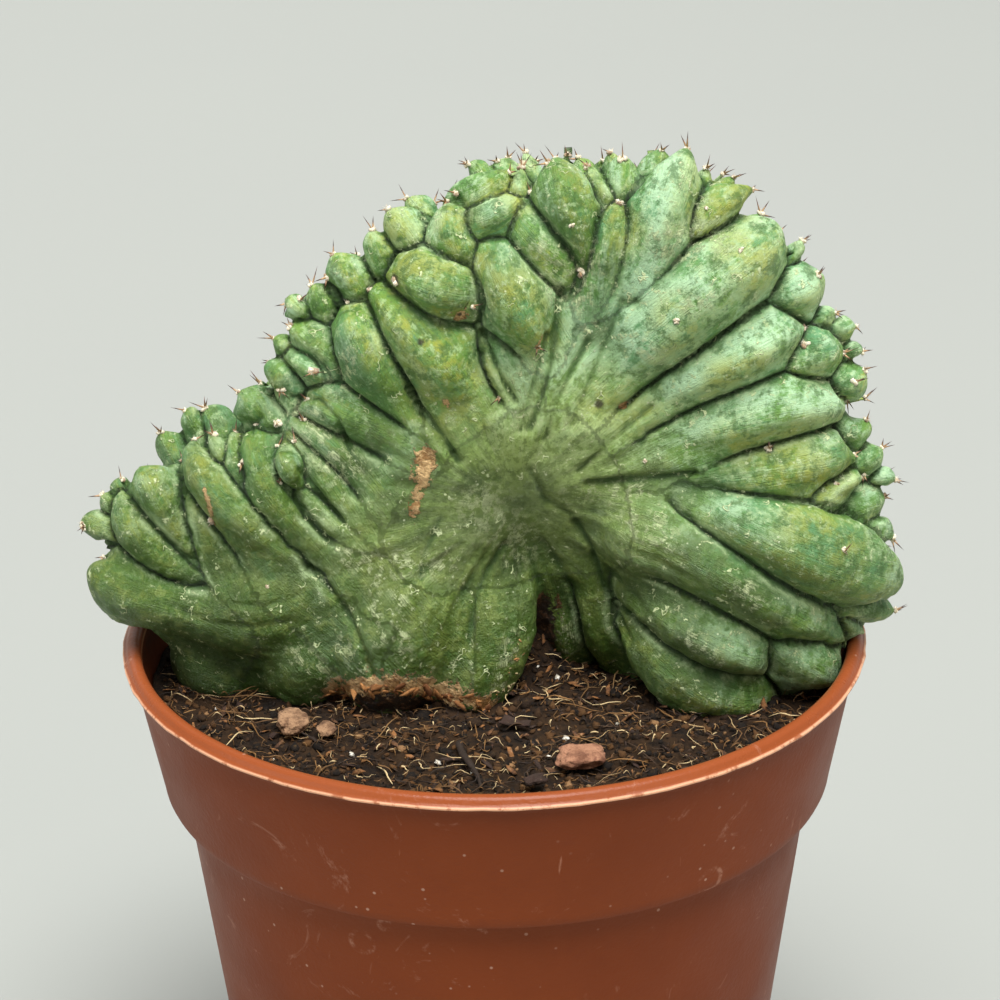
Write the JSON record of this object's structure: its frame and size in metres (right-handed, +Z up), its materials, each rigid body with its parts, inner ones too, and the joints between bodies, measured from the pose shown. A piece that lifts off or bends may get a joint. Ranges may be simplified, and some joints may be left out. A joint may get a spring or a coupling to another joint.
{
  "type": "potted crested cactus",
  "caption": "Crested cactus: a folded fan of blue-green ribs with spined areoles along its growing edge, planted in peat soil in a tapered round nursery pot with a wide collar.",
  "frame": {"origin": "middle of the pot's underside", "axes": "+Z up, +X to the right of someone who faces the crest's front, +Y away from them; the crest's broad front face looks along -Y"},
  "size_m": [0.1167, 0.105, 0.1656],
  "materials": {
    "pot": "satin",
    "soil": "matte",
    "crest": "satin",
    "stone_grey": "matte",
    "stone_red": "matte",
    "bark": "matte",
    "twig": "matte"
  },
  "bodies": {
    "root": {"pot": "pot", "soil": "soil", "crest": "crest", "stone_left": "stone_grey", "stone_left_small": "stone_grey", "stone_front": "stone_red", "bark_middle": "bark", "bark_front": "bark", "twig": "twig"}
  },
  "joints": []
}
